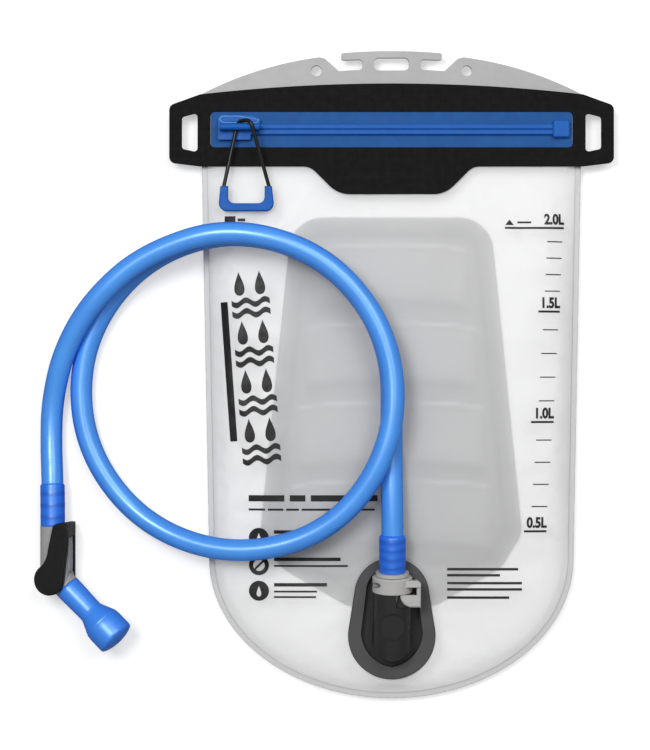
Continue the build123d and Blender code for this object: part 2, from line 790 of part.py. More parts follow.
with BuildPart() as valve_body:
    # flank between the lever's arms, rounded along its edges and at its top
    with BuildSketch(inlet_plane(-6)):
        with Locations(((flank_face - barrel_offset) / 2, 0)):
            RectangleRounded(flank_face - barrel_offset, 2 * flank_half, 2.2)
    extrude(amount=36)
    with BuildSketch(valve.offset(-flank_half)):
        with BuildLine():
            Polyline(
                (0, flank_top),
                (barrel_offset, flank_top),
                (barrel_offset, -3),
                (4, -6.5),
                (flank_face, -1.5),
                (flank_face, 22.7),
            )
            ThreePointArc((flank_face, 22.7), (4.6, 24.17), (0, flank_top))
        make_face()
    extrude(amount=2 * flank_half, mode=Mode.INTERSECT)
    with BuildSketch(thumb_side):
        Rectangle(90, 60)
    extrude(amount=10, mode=Mode.SUBTRACT)
    with BuildSketch(valve.offset(-housing_half)):
        Circle(housing_radius)
    extrude(amount=2 * housing_half)
    with BuildSketch(inlet_plane(0)):
        Circle(barrel_radius)
    extrude(amount=barrel_end)
    with BuildSketch(outlet_plane(0)):
        Circle(neck_radius)
    extrude(amount=neck_end)
    with BuildSketch(inlet_section):
        draw_barb(barrel_end, 21.0)
    revolve(axis=inlet_axis)
    with BuildSketch(outlet_section):
        draw_barb(neck_end, 15.0)
    revolve(axis=outlet_axis)
    # waterways and the bore for the core
    with BuildSketch(inlet_plane(0)):
        Circle(spout_bore)
    extrude(amount=barrel_end + 25, mode=Mode.SUBTRACT)
    with BuildSketch(outlet_plane(0)):
        Circle(spout_bore)
    extrude(amount=neck_end + 20, mode=Mode.SUBTRACT)
    with BuildSketch(valve):
        Circle(core_bore)
    extrude(amount=housing_half + 1, both=True, mode=Mode.SUBTRACT)
save(valve_body, "valve_body")

with BuildPart() as valve_thumb_pad:
    with BuildSketch(thumb_side):
        RectangleRounded(17, 9.6, 3)
    extrude(amount=0.6)
    chamfer(faces().sort_by(Axis(pivot, thumb_normal))[-1].edges(), 0.25)
save(valve_thumb_pad, "valve_thumb_pad")

with BuildPart() as valve_core:
    with BuildSketch(valve.offset(-core_half)):
        Circle(core_radius)
    extrude(amount=2 * core_half)
    with BuildSketch(valve.offset(-journal_half)):
        Rectangle(journal_side, journal_side)
    extrude(amount=2 * journal_half)
    with BuildSketch(inlet_plane(bend_height)):
        Circle(spout_bore)
    extrude(amount=6, mode=Mode.SUBTRACT)
    with BuildSketch(outlet_plane(0)):
        Circle(spout_bore)
    extrude(amount=14, mode=Mode.SUBTRACT)
    with Locations(outlet_section.origin):
        Sphere(spout_bore, mode=Mode.SUBTRACT)
    for place in (-core_ring_place, core_ring_place):
        with BuildSketch(valve.offset(place - 0.55)):
            Circle(core_radius + 1)
            Circle(core_groove, mode=Mode.SUBTRACT)
        extrude(amount=1.1, mode=Mode.SUBTRACT)
save(valve_core, "valve_core")

with BuildPart() as valve_o_rings:
    with BuildSketch(Plane(origin=pivot, x_dir=valve.x_dir, z_dir=(0, -1, 0))):
        with Locations(*[(core_groove + core_ring_wire, side * core_ring_place) for side in (-1, 1)]):
            Circle(core_ring_wire)
    revolve(axis=Axis(pivot, valve.z_dir))
save(valve_o_rings, "valve_o_rings")


def draw_lever_arm():
    """Round disc over the pivot and the arm that rises beside the barrel."""
    Circle(disc_radius)
    with BuildLine() as outline:
        Line((disc_radius, 0), (11.9, 27.5))
        ThreePointArc((11.9, 27.5), (10.9, 29.9), (8.6, 30.9))
        Line((8.6, 30.9), (5.2, 30.9))
        ThreePointArc((5.2, 30.9), (2.9, 29.6), (2.0, 27.2))
        Line((2.0, 27.2), (-0.5, 16.1))
        ThreePointArc((-0.5, 16.1), (-2.2, 10.4), (-6.3, 5.85))
        Polyline((-6.3, 5.85), (0, 0), (disc_radius, 0))
    make_face(outline.edges())


with BuildPart() as valve_lever:
    for level in (lever_inner, -lever_outer):
        with BuildSketch(valve.offset(level)):
            draw_lever_arm()
        extrude(amount=lever_outer - lever_inner)
    with BuildSketch(valve.offset(-lever_inner)):
        draw_lever_arm()
        Circle(lever_sweep, mode=Mode.SUBTRACT)
        with Locations((-14.4, 20)):
            Rectangle(40, 40, mode=Mode.SUBTRACT)
    extrude(amount=2 * lever_inner)
    by_level = faces().sort_by(Axis(pivot, valve.z_dir))
    fillet(by_level[0].edges() + by_level[-1].edges(), 0.9)
    with BuildSketch(thumb_side.offset(0.9)):
        Rectangle(90, 60)
    extrude(amount=20, mode=Mode.SUBTRACT)
    with BuildSketch(valve):
        Rectangle(journal_side + 0.1, journal_side + 0.1)
    extrude(amount=journal_half + 0.2, both=True, mode=Mode.SUBTRACT)
save(valve_lever, "valve_lever")

# ---------------------------------------------------------------- bite valve
stem_start = neck_end + 0.1
cone_start, head_start, rim = stem_start + 19.3, stem_start + 27.9, stem_start + 39.1
head_radius = 10.6

with BuildPart() as bite_valve:
    with BuildSketch(outlet_section):
        with BuildLine():
            Polyline((0, rim + 0.2), (8.6, rim - 1.8), (8.6, head_start + 1), (5.0, cone_start + 1.5),
                     (4.0, cone_start - 3), (4.0, stem_start), (neck_radius, stem_start), (6.7, cone_start),
                     (head_radius - 0.1, head_start), (head_radius, rim))
            ThreePointArc((head_radius, rim), (6.0, rim + 1.65), (0, rim + 2.3))
            Line((0, rim + 2.3), (0, rim + 0.2))
        make_face()
    revolve(axis=outlet_axis)
    with BuildSketch(outlet_plane(rim - 3)):
        Rectangle(10, 0.5)
    extrude(amount=8, mode=Mode.SUBTRACT)
save(bite_valve, "bite_valve")
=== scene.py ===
import json
import math

import bmesh
import bpy
import numpy as np
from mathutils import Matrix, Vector
from mathutils.bvhtree import BVHTree
from mathutils.geometry import delaunay_2d_cdt


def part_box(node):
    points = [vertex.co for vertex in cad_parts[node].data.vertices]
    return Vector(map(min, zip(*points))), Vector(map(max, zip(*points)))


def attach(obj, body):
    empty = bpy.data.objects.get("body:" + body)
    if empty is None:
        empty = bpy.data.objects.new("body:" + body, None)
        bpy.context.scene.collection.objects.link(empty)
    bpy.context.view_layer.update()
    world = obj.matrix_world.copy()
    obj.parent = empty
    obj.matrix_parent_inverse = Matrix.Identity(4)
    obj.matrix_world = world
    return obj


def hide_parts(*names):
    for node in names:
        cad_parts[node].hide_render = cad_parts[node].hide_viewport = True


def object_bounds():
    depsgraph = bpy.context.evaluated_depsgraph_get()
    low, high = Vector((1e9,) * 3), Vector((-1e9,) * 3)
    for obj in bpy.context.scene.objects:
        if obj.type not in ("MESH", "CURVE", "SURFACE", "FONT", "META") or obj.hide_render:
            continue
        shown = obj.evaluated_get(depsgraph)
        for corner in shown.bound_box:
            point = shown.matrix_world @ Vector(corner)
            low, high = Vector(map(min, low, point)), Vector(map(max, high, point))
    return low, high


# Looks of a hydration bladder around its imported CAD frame: welded film bag, moulded back panel,
# drinking hose and bite valve as soft pieces, and materials for every part. Outlines and heights
# are in millimetres and turned to metres when a mesh is made.

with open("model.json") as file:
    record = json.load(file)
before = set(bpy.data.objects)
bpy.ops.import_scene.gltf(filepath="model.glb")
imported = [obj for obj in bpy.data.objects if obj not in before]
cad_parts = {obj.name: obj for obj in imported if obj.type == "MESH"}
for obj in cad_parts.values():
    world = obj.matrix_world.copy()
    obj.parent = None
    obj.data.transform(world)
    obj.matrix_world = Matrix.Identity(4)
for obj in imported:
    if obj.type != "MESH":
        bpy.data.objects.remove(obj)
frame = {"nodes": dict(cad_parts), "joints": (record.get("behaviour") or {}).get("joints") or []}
cad_low, cad_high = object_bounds()
MM = 0.001

# ------------------------------------------------------------------ camera
view_height = 0.4125  # metres of the bag's plane that the picture's height shows
bag_plane = 0.012
lens, sensor = 100.0, 36.0


def make_camera():
    data = bpy.data.cameras.new("camera")
    data.lens, data.sensor_width = lens, sensor
    camera = bpy.data.objects.new("camera", data)
    middle = (cad_low + cad_high) / 2
    camera.location = (middle.x, middle.y, bag_plane + view_height * lens / sensor)
    bpy.context.scene.collection.objects.link(camera)
    bpy.context.scene.camera = camera


make_camera()

# ------------------------------------------------------------------ hose
hose_radius = 0.006
hose_route = [
    (0.0, -0.10713, 0.024265),
    (0.0, -0.0800, 0.02808),
    (-0.0006, -0.0400, 0.0259),
    (-0.0003, 0.0183, 0.0259),
    (-0.0330, 0.0632, 0.0254),
    (-0.0858, 0.0804, 0.0240),
    (-0.1386, 0.0632, 0.0120),
    (-0.1713, 0.0183, 0.0064),
    (-0.1713, -0.0373, 0.0064),
    (-0.1386, -0.0822, 0.0095),
    (-0.0858, -0.0994, 0.0240),
    (-0.0314, -0.0843, 0.0330),
    (0.0007, -0.0376, 0.0405),
    (-0.0003, 0.0183, 0.0388),
    (-0.0330, 0.0632, 0.0383),
    (-0.0858, 0.0804, 0.0370),
    (-0.1335, 0.0665, 0.0280),
    (-0.1630, 0.0415, 0.0225),
    (-0.1800, 0.0140, 0.0135),
    (-0.1874, -0.0140, 0.0064),
    (-0.1880, -0.0380, 0.0064),
    (-0.1864, -0.0610, 0.01194),
    (-0.1864, -0.0830, 0.01194),
]


def link(name, data):
    """A new object holding data, in the scene."""
    made = bpy.data.objects.new(name, data)
    bpy.context.scene.collection.objects.link(made)
    return made


def make_mesh(name, points, faces, smooth=True, weights=None):
    """A mesh piece from points in metres, with optional named numbers on its points."""
    mesh = bpy.data.meshes.new(name)
    mesh.from_pydata([tuple(p) for p in points], [], [tuple(f) for f in faces])
    mesh.validate()
    for label, values in (weights or {}).items():
        attribute = mesh.attributes.new(label, "FLOAT", "POINT")
        attribute.data.foreach_set("value", np.asarray(values, np.float32))
    tidy = bmesh.new()
    tidy.from_mesh(mesh)
    bmesh.ops.recalc_face_normals(tidy, faces=tidy.faces)
    tidy.to_mesh(mesh)
    tidy.free()
    mesh.polygons.foreach_set("use_smooth", [smooth] * len(mesh.polygons))
    return link(name, mesh)


def make_hose():
    curve = bpy.data.curves.new("hose_tube", "CURVE")
    curve.dimensions = "3D"
    spline = curve.splines.new("NURBS")
    spline.points.add(len(hose_route) - 1)
    for point, place in zip(spline.points, hose_route):
        point.co = (*place, 1.0)
    spline.order_u = 3
    spline.use_endpoint_u = True
    curve.resolution_u = 20
    curve.bevel_depth = hose_radius
    curve.bevel_resolution = 9
    curve.use_fill_caps = True
    return link("hose_tube", curve)


def line_of(hose):
    """Points along the hose's own spline."""
    bare = hose.data.copy()
    bare.bevel_depth = 0
    probe = link("probe", bare)
    mesh = bpy.data.meshes.new_from_object(probe)
    points = [v.co.copy() for v in mesh.vertices]
    bpy.data.objects.remove(probe)
    bpy.data.meshes.remove(mesh)
    return points


def at_distance(line, distance):
    """(point, direction) at a distance along a line of points."""
    for start, end in zip(line, line[1:]):
        step = (end - start).length
        if distance <= step:
            break
        distance -= step
    along = (end - start).normalized()
    return start + along * distance, along


def sleeve(name, line, profile, sides=72, band=None):
    """A closed ring of material around a line: profile gives (distance, radius) in mm, out and back."""
    points, faces, bands = [], [], []
    for distance, radius in profile:
        middle, along = at_distance(line, max(distance, 0.0) * MM)
        middle = middle + along * min(distance, 0.0) * MM
        across = along.cross(Vector((0, 0, 1))).normalized()
        upward = across.cross(along)
        for k in range(sides):
            turn = 2 * math.pi * k / sides
            points.append(middle + (across * math.cos(turn) + upward * math.sin(turn)) * radius * MM)
            bands.append(band(distance) if band else 0.0)
    rings = len(profile)
    for i in range(rings):
        for k in range(sides):
            j, n = (i + 1) % rings, (k + 1) % sides
            faces.append((i * sides + k, i * sides + n, j * sides + n, j * sides + k))
    return make_mesh(name, points, faces, weights={"band": bands})


def ridged(length, base, ridges, height, lip):
    """Outer profile of a hose end stretched over a barbed nipple, from its face to its lip."""
    steps = 80
    outer = []
    for i in range(steps + 1):
        distance = length * i / steps
        swell = sum(height * math.exp(-(((distance - place) / 1.1) ** 2)) for place in ridges)
        taper = min(1.0, (length - distance) / lip)
        radius = hose_radius / MM + (base + swell - hose_radius / MM) * math.sin(taper * math.pi / 2)
        outer.append((distance, radius))
    return outer


def make_cuff(name, line, length, base, ridges, height, lip):
    """A hose end swollen by the nipple inside it, open at its face."""
    outer = ridged(length, base, ridges, height, lip)
    inner = hose_radius / MM - 0.5
    rounded = [(0.0, inner), (0.0, outer[0][1] - 0.5), (0.15, outer[0][1] - 0.12)]

    def band(distance):
        return max(math.exp(-(((distance - place) / 1.3) ** 2)) for place in ridges)

    profile = rounded + outer[2:] + [(length + 0.3, inner)]
    return sleeve(name, line, profile, band=band)


hose = make_hose()
hose_line = line_of(hose)
port_cuff = make_cuff("hose_cuff_port", hose_line, 20.5, 7.2, (3.2, 7.9, 12.6, 17.0), 0.10, 1.6)
valve_cuff = make_cuff("hose_cuff_valve", hose_line[::-1], 23.0, 6.7, (5.0, 11.5, 17.5), 0.06, 0.8)

# ------------------------------------------------------------------ bite valve
shutoff = next(j for j in frame["joints"] if j["name"] == "shutoff_turn")
pivot = Vector(shutoff["pos_m"])
lever_axis = -Vector(shutoff["axis"]).normalized()  # out of the lever's face
valve_across = Vector((0, 1, 0)).cross(lever_axis).normalized()
barrel_offset, bend_height = -1.66, 3.6  # mm from the pivot to where the outlet leaves the barrel
outlet_turn = math.radians(-43.3)
outlet = valve_across * math.cos(outlet_turn) + Vector((0, 1, 0)) * math.sin(outlet_turn)
bend = pivot + (valve_across * barrel_offset + Vector((0, 1, 0)) * bend_height) * MM


def make_bite_valve():
    """Soft mouthpiece: stem, flared cone, a crease, and a head with a domed, slit end."""
    outer = [
        (12.2, 6.0), (12.2, 6.9), (12.4, 7.15), (14, 7.2), (20, 7.05), (26, 6.85), (30.2, 6.75),
        (31.6, 6.85), (33.2, 7.5), (35.5, 8.5), (38.0, 9.6), (39.6, 10.25), (40.25, 10.4), (40.55, 10.28),
        (40.85, 10.4), (41.6, 10.55), (44, 10.6), (47, 10.6), (49.8, 10.58), (50.9, 10.5), (51.5, 10.2),
        (51.95, 9.5),
        (52.5, 8.2), (52.95, 6.6), (53.2, 5.4), (53.35, 4.4), (53.47, 3.4), (53.55, 2.4), (53.58, 1.5),
        (53.6, 0.7),
    ]
    inner = [
        (50.6, 0.7), (50.5, 4.0), (49.6, 8.4), (43.0, 8.6), (38.0, 6.6), (33.0, 5.0), (28.5, 4.0),
        (12.2, 4.0),
    ]
    sides = 96
    side = outlet.cross(lever_axis).normalized()
    slit_half, slit_width, slit_depth = 5.0, 0.55, 1.1
    points, faces = [], []
    for distance, radius in outer + inner:
        for k in range(sides):
            turn = 2 * math.pi * k / sides
            u, v = radius * math.cos(turn), radius * math.sin(turn)
            sink = 0.0
            if distance > 52.9:
                sink = slit_depth * math.exp(-((v / slit_width) ** 2)) * max(0.0, 1 - (u / slit_half) ** 2)
            points.append(bend + (outlet * (distance - sink) + side * v + lever_axis * u) * MM)
    rings = len(outer) + len(inner)
    tip = len(outer) - 1
    for i in range(rings):
        j = (i + 1) % rings
        if i == tip:
            continue
        for k in range(sides):
            n = (k + 1) % sides
            faces.append((i * sides + k, i * sides + n, j * sides + n, j * sides + k))
    faces.append([tip * sides + k for k in range(sides)])
    faces.append([(tip + 1) * sides + k for k in reversed(range(sides))])
    return make_mesh("bite_mouthpiece", points, faces)


bite = make_bite_valve()

# ------------------------------------------------------------------ painted highlight line on the slider
slider_low, slider_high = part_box("zipper_slider")
slider_roof = 0.0148  # flat top of the slider's body, under its bar


def make_edge_line():
    """Painted highlight along the edge of the slider's six-sided ridge: a line a shade lighter than the
    plastic around it.
    """
    left, right, top = slider_low.x + 0.0006, slider_high.x - 0.0006, slider_high.y - 0.0004
    foot = top - 0.0036
    corners = [
        (left, top - 0.0016), (left + 0.0016, top), (left + 0.0105, top),
        (right, top - 0.0018), (right - 0.0012, foot), (left + 0.0020, foot),
    ]
    data = bpy.data.curves.new("slider_highlight_line", "CURVE")
    data.dimensions = "3D"
    line = data.splines.new("POLY")
    line.points.add(len(corners) - 1)
    for point, (x, y) in zip(line.points, corners):
        point.co = (x, y, slider_roof + 0.0003, 1.0)
    line.use_cyclic_u = True
    data.bevel_depth = 0.00026
    data.bevel_resolution = 3
    return link("slider_highlight_line", data)


edge_line = make_edge_line()

# ------------------------------------------------------------------ outlines and height fields, in mm
film_low, film_high = (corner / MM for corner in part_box("front_film"))
half_length = -film_low.y
bag_corner = (film_high.x, 155.0)
bag_crown = film_high.y
bag_foot = (100.7, -102.0)
seam_width = 3.0
film_thickness, film_visual_thickness = 0.6, 0.36
film_trim = 0.05
seam_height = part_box("front_film")[0].z / MM
port_low, port_high = (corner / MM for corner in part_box("port_base"))


def arc_points(centre, radius_x, radius_y, start, end, step):
    """Points on an ellipse's arc, angles in radians, its last one left out."""
    count = max(2, round(abs(end - start) * max(radius_x, radius_y) / step))
    turns = [start + (end - start) * i / count for i in range(count)]
    return [(centre[0] + radius_x * math.cos(t), centre[1] + radius_y * math.sin(t)) for t in turns]


def line_points(start, end, step):
    count = max(1, round(math.dist(start, end) / step))
    return [
        (start[0] + (end[0] - start[0]) * i / count, start[1] + (end[1] - start[1]) * i / count)
        for i in range(count)
    ]


def bag_outline(inset, step=4.0):
    """The bag's outline drawn in by inset, anticlockwise from its top right corner."""
    rise = bag_crown - bag_corner[1]
    radius = (bag_corner[0] ** 2 + rise**2) / (2 * rise)
    half, corner_y = bag_corner[0] - inset, bag_corner[1] - inset
    lean = math.asin(half / radius)
    foot_x = bag_foot[0] - inset
    centre, upright = (0, bag_crown - radius - inset), math.pi / 2
    top = arc_points(centre, radius, radius, upright - lean, upright + lean, step)
    left = line_points((-half, corner_y), (-foot_x, bag_foot[1]), step)
    bottom = arc_points(
        (0, bag_foot[1]), foot_x, half_length + bag_foot[1] - inset, math.pi, 2 * math.pi, step
    )
    return top + left + bottom + line_points((foot_x, bag_foot[1]), (half, corner_y), step)


def rounded_outline(corners, radii, step=1.5):
    """A polygon with its corners rounded."""
    made = []
    for i, (corner, radius) in enumerate(zip(corners, radii)):
        here = Vector(corner)
        back = (Vector(corners[i - 1]) - here).normalized()
        ahead = (Vector(corners[(i + 1) % len(corners)]) - here).normalized()
        half = math.acos(max(-1.0, min(1.0, back.dot(ahead)))) / 2
        reach = radius / math.tan(half)
        centre = here + (back + ahead).normalized() * radius / math.sin(half)
        first, last = here + back * reach - centre, here + ahead * reach - centre
        start = math.atan2(first.y, first.x)
        sweep = math.remainder(math.atan2(last.y, last.x) - start, 2 * math.pi)
        made += arc_points(centre, radius, radius, start, start + sweep, step)
        made.append(tuple(centre + last))
    return made


def port_recess(margin, step=2.0):
    """The opening under the port's plate, margin wider than the recess."""
    half, flank = 14.2 + margin, 17.0 + margin
    top = arc_points((0, -119.0), half, 14.0 + margin, math.pi, 0, step)
    slant = margin * 0.7
    corners = [(half, -119.0), (flank, -141.6), (12.6 + slant, -153.0 - slant), (0, -160.2 - margin)]
    right = [p for a, b in zip(corners, corners[1:]) for p in line_points(a, b, step)]
    left = [(-x, y) for x, y in reversed(right[1:])]
    return top + right + [corners[-1]] + left


def distance_to(loop, spots):
    """Distance of each spot from a closed line."""
    start = np.asarray(loop, float)
    run = np.roll(start, -1, axis=0) - start
    away = spots[:, None] - start[None]
    share = np.clip((away * run).sum(-1) / np.maximum((run * run).sum(-1), 1e-12), 0, 1)
    return np.sqrt(((away - share[..., None] * run) ** 2).sum(-1)).min(1)


def within(loop, spots):
    """True for each spot inside a closed line."""
    start = np.asarray(loop, float)
    end = np.roll(start, -1, axis=0)
    x, y = spots[:, :1], spots[:, 1:]
    crosses = (start[:, 1] > y) != (end[:, 1] > y)
    rise = np.where(end[:, 1] == start[:, 1], 1.0, end[:, 1] - start[:, 1])
    at = start[:, 0] + (y - start[:, 1]) * (end[:, 0] - start[:, 0]) / rise
    return ((x < at) & crosses).sum(1) % 2 == 1


def mesh_region(outer, holes=(), rings=(), pitch=4.0):
    """(spots, triangles) of the region inside outer and outside holes, with points on every ring."""
    loops = [list(outer), *map(list, holes), *map(list, rings)]
    spots, edges = [], []
    for loop in loops:
        first = len(spots)
        spots += loop
        edges += [(first + i, first + (i + 1) % len(loop)) for i in range(len(loop))]
    bounds = np.asarray(outer)
    low, high = bounds.min(0), bounds.max(0)
    rows = np.arange(low[1], high[1], pitch * math.sqrt(3) / 2)
    columns = np.arange(low[0], high[0], pitch)
    grid = np.array([(x + (pitch / 2 if i % 2 else 0), y) for i, y in enumerate(rows) for x in columns])
    keep = within(outer, grid)
    for hole in holes:
        keep &= ~within(hole, grid)
    for loop in loops:
        keep &= distance_to(loop, grid) > 0.55 * pitch
    spots += [tuple(p) for p in grid[keep]]
    found, _, faces, *_ = delaunay_2d_cdt([Vector(p) for p in spots], edges, [], 0, 1e-5)
    found = np.array([tuple(p) for p in found])
    middles = np.array([found[list(f)].mean(0) for f in faces])
    inside = within(outer, middles)
    for hole in holes:
        inside &= ~within(hole, middles)
    kept = [tuple(f) for f, ok in zip(faces, inside) if ok]
    used = sorted({i for f in kept for i in f})
    place = {old: new for new, old in enumerate(used)}
    return found[used], [tuple(place[i] for i in f) for f in kept]


def ease(share):
    share = np.clip(share, 0, 1)
    return share * share * (3 - 2 * share)


def ripple(spots, size, seed):
    """Smooth unevenness between about -1 and 1, from a few crossed waves of about the given size."""
    rng = np.random.default_rng(seed)
    total = np.zeros(len(spots))
    waves = 7
    for _ in range(waves):
        turn, phase = rng.uniform(0, 2 * math.pi, 2)
        length = size * rng.uniform(0.7, 1.6)
        total += np.sin((spots @ (math.cos(turn), math.sin(turn))) * 2 * math.pi / length + phase)
    return total / math.sqrt(waves)


# ------------------------------------------------------------------ front and rear film
crest_line = [
    (-178.5, 14.0), (-160.0, 14.0), (-105.0, 14.0), (-80.0, 16.6), (-48.0, 18.8), (-15.0, 19.0),
    (20.0, 19.0), (60.0, 17.0), (85.0, 13.8), (108.0, 10.1), (114.0, 10.0), (149.4, 10.0),
]
dome_reach = 29.0  # mm from the weld to the dome's flat
film_unevenness = 0.25
panel_top, rear_gap = 3.0, 0.02
under_plate = 14.0 - 0.02  # just below the port's plate
zip_foot, zip_head = 108.0, 149.4  # where the film flattens under the zipper band, and is welded again
zip_level = 10.0


def port_plate_distance(spots):
    """Distance outside the port's plate, below 0 under it."""
    line_top, line_low, radius_top, radius_low = -120.8, -143.0, 20.5, 24.0
    share = np.clip((line_top - spots[:, 1]) / (line_top - line_low), 0, 1)
    y = line_top + (line_low - line_top) * share
    return np.hypot(spots[:, 0], spots[:, 1] - y) - (radius_top + (radius_low - radius_top) * share)


def front_heights(spots):
    """Outer surface of the front film: weld, pillow, flat under the zipper band and the port."""
    inset = distance_to(bag_outline(0, 1.5), spots)
    weld_top = seam_height + film_thickness
    crest = np.interp(spots[:, 1], *zip(*crest_line))
    crest = crest + film_unevenness * ripple(spots, 70, 3) * ease((inset - 12) / 20)
    share = np.clip((inset - seam_width) / dome_reach, 0, 1)
    height = weld_top + (crest - weld_top) * (1 - (1 - share) ** 4)
    under_band = ease((spots[:, 1] - zip_foot) / 6)
    flat_zip = weld_top + (zip_level - weld_top) * ease((inset - seam_width) / 5)
    height = height + (np.minimum(flat_zip, zip_level) - height) * under_band
    under_port = ease(1 - port_plate_distance(spots) / 7)
    height = height + (under_plate - height) * under_port
    return np.where(spots[:, 1] > zip_head, weld_top - 0.1, height), inset


def film_weights(inset):
    """Where the film is welded, and how near each spot is to the weld."""
    return {
        "weld": ease((seam_width + 0.3 - inset) / 0.5),
        # edge: nearness to the weld, which sets the film's painted shade
        "edge": np.exp(-np.maximum(inset - seam_width, 0) / 13),
    }


def make_front_film():
    outline = bag_outline(film_trim)
    rings = [bag_outline(inset) for inset in (1.6, 2.8, 3.4, 5.0, 8.0)]
    spots, faces = mesh_region(outline, [port_recess(1.9)], rings)
    heights, inset = front_heights(spots)
    points = np.column_stack([spots, heights]) * MM
    film = make_mesh("film_front", points, faces, weights=film_weights(inset))
    film.vertex_groups.new(name="pinned")
    held = (
        (inset < seam_width + 2.5)
        | (spots[:, 1] > 104)
        | (port_plate_distance(spots) < 4)
    )
    film.vertex_groups["pinned"].add([int(i) for i in np.flatnonzero(held)], 1.0, "REPLACE")
    return film


def inflate(film, most):
    """The free part of the film swells and finds its own soft unevenness, by no more than most metres."""
    before = np.array([v.co for v in film.data.vertices])
    cloth = film.modifiers.new("inflate", "CLOTH")
    settings = cloth.settings
    settings.quality = 6
    settings.mass = 0.3
    settings.tension_stiffness = settings.compression_stiffness = 20
    settings.bending_stiffness = 2
    settings.use_pressure = True
    settings.uniform_pressure_force = 2.5
    settings.effector_weights.gravity = 0
    settings.vertex_group_mass = "pinned"
    settings.shrink_min = -0.006
    for number in range(1, 21):
        bpy.context.scene.frame_set(number)
    graph = bpy.context.evaluated_depsgraph_get()
    swollen = np.array([v.co for v in film.evaluated_get(graph).data.vertices])
    film.modifiers.remove(cloth)
    bpy.context.scene.frame_set(1)
    move = swollen - before
    size = np.linalg.norm(move, axis=1, keepdims=True)
    move = move / np.maximum(size, 1e-9) * most * np.tanh(size / most)
    film.data.vertices.foreach_set("co", (before + move).ravel())
    film.data.update()


def refine(piece, thickness, levels=1):
    """One finer level of the surface, then the sheet's real thickness under it."""
    finer = piece.modifiers.new("finer", "SUBSURF")
    finer.levels = finer.render_levels = levels
    thick = piece.modifiers.new("thick", "SOLIDIFY")
    thick.thickness = thickness
    thick.offset = -1
    thick.use_even_offset = False


def make_rear_film():
    outline = bag_outline(film_trim)
    rings = [bag_outline(inset) for inset in (2.8, 3.4, 6.0, 10.0)]
    spots, faces = mesh_region(outline, (), rings, pitch=5.0)
    inset = distance_to(bag_outline(0, 1.5), spots)
    rest = panel_top + rear_gap
    low = rest + 0.5 * (1 + ripple(spots, 45, 11)) * ease((inset - 4) / 8) * 0.5
    near_panel = ease(1 - distance_to(panel_outline(), spots) / 10) + within(panel_outline(), spots)
    low = low + (rest - low) * np.clip(near_panel, 0, 1)
    weld_low = seam_height - film_thickness
    height = weld_low + (low - weld_low) * ease((inset - seam_width) / 9)
    points = np.column_stack([spots, height]) * MM
    return make_mesh("film_rear", points, faces, weights=film_weights(inset))


# ------------------------------------------------------------------ back panel
panel_corners = [(55.0, 87.3), (72.6, -88.0), (61.0, -107.0), (24.0, -128.3)]
panel_radii = [19.0, 14.0, 14.0, 14.0]
panel_pads = [(54.8, 35.2, 43.1), (11.0, 36.0, 48.0), (-33.5, 37.0, 52.0), (-77.8, 38.4, 56.0)]
panel_rim = 9.0  # width of the flat border outside the pads
pad_bow = 3.0


def panel_outline(step=2.5):
    corners = panel_corners + [(-x, y) for x, y in reversed(panel_corners)]
    return rounded_outline(corners, panel_radii + panel_radii[::-1], step)


def pad_outline(middle_y, height, half_width):
    """A pillow with bowed upper and lower edges."""
    low, high = middle_y - height / 2, middle_y + height / 2
    across = np.linspace(-half_width, half_width, 25)
    upper = [(x, high - pad_bow * (x / half_width) ** 2) for x in across[::-1]]
    lower = [(x, low + pad_bow * (1 - (x / half_width) ** 2)) for x in across]
    return upper + lower


def make_back_panel():
    """A moulded sheet with four raised pads, its rim and the pads' edges pressed thin."""
    spots, faces = mesh_region(panel_outline(), (), (), pitch=2.2)
    inset = distance_to(panel_outline(1.0), spots)
    pads = np.zeros(len(spots))
    for pad in panel_pads:
        loop = pad_outline(*pad)
        depth = np.where(within(loop, spots), distance_to(loop, spots), 0.0)
        pads = np.maximum(pads, 1 - np.exp(-depth / 2.6))
    rim_step = ease((inset - panel_rim) / 3)
    # Painted shade: a dark line where the rim is pressed, and a dark band under each pad's lower edge that
    # stands for the pad's shadow.
    groove_shade = np.exp(-(((inset - panel_rim) / 1.3) ** 2))
    pressed = np.exp(-(((inset - panel_rim) / 1.6) ** 2))
    # Painted highlight: a light line just inside the panel's outer edge, and one along each pad's upper
    # edge.
    lit = np.exp(-(((inset - 1.5) / 1.2) ** 2)) * 0.6
    for middle_y, height, half_width in panel_pads:
        bow = pad_bow * (spots[:, 0] / half_width) ** 2
        across = ease((half_width - np.abs(spots[:, 0])) / 3)
        above = spots[:, 1] - (middle_y + height / 2 - bow)
        below = (middle_y - height / 2 + pad_bow - bow) - spots[:, 1]
        groove_shade = np.maximum(groove_shade, 0.75 * across * np.exp(-(((below - 0.5) / 2.6) ** 2)))
        lit = np.maximum(lit, across * np.exp(-((above / 1.0) ** 2)))
    weave = 0.05 * ripple(spots, 6, 5)
    top = panel_top - 0.1 - 0.5 * rim_step * (1 - pads) - 0.3 * pressed
    top = top - 0.6 * (1 - ease(inset / 2.0))
    low = 1.5 - 0.4 * rim_step - 1.1 * pads * rim_step + weave * rim_step * (1 - pads)
    low = np.where(pads > 0.9, np.maximum(low, 0.0), low)
    low = np.minimum(low, top - 0.7)
    count = len(spots)
    points = np.vstack([np.column_stack([spots, top]), np.column_stack([spots, np.maximum(low, 0.0)])]) * MM
    both = list(faces) + [tuple(i + count for i in reversed(f)) for f in faces]
    edges = {}
    for f in faces:
        for a, b in zip(f, f[1:] + f[:1]):
            edges[(a, b)] = edges.get((a, b), 0) + 1
    rim = [(a, b) for a, b in edges if (b, a) not in edges]
    both += [(b, a, a + count, b + count) for a, b in rim]
    groove_shades = np.clip(np.concatenate([groove_shade, groove_shade]), 0, 1)
    raised = np.concatenate([pads, pads])
    lights = np.concatenate([lit, lit])
    weights = {"groove_shade": groove_shades, "pad": raised, "lit": lights}
    return make_mesh("panel_moulded", points, both, weights=weights)


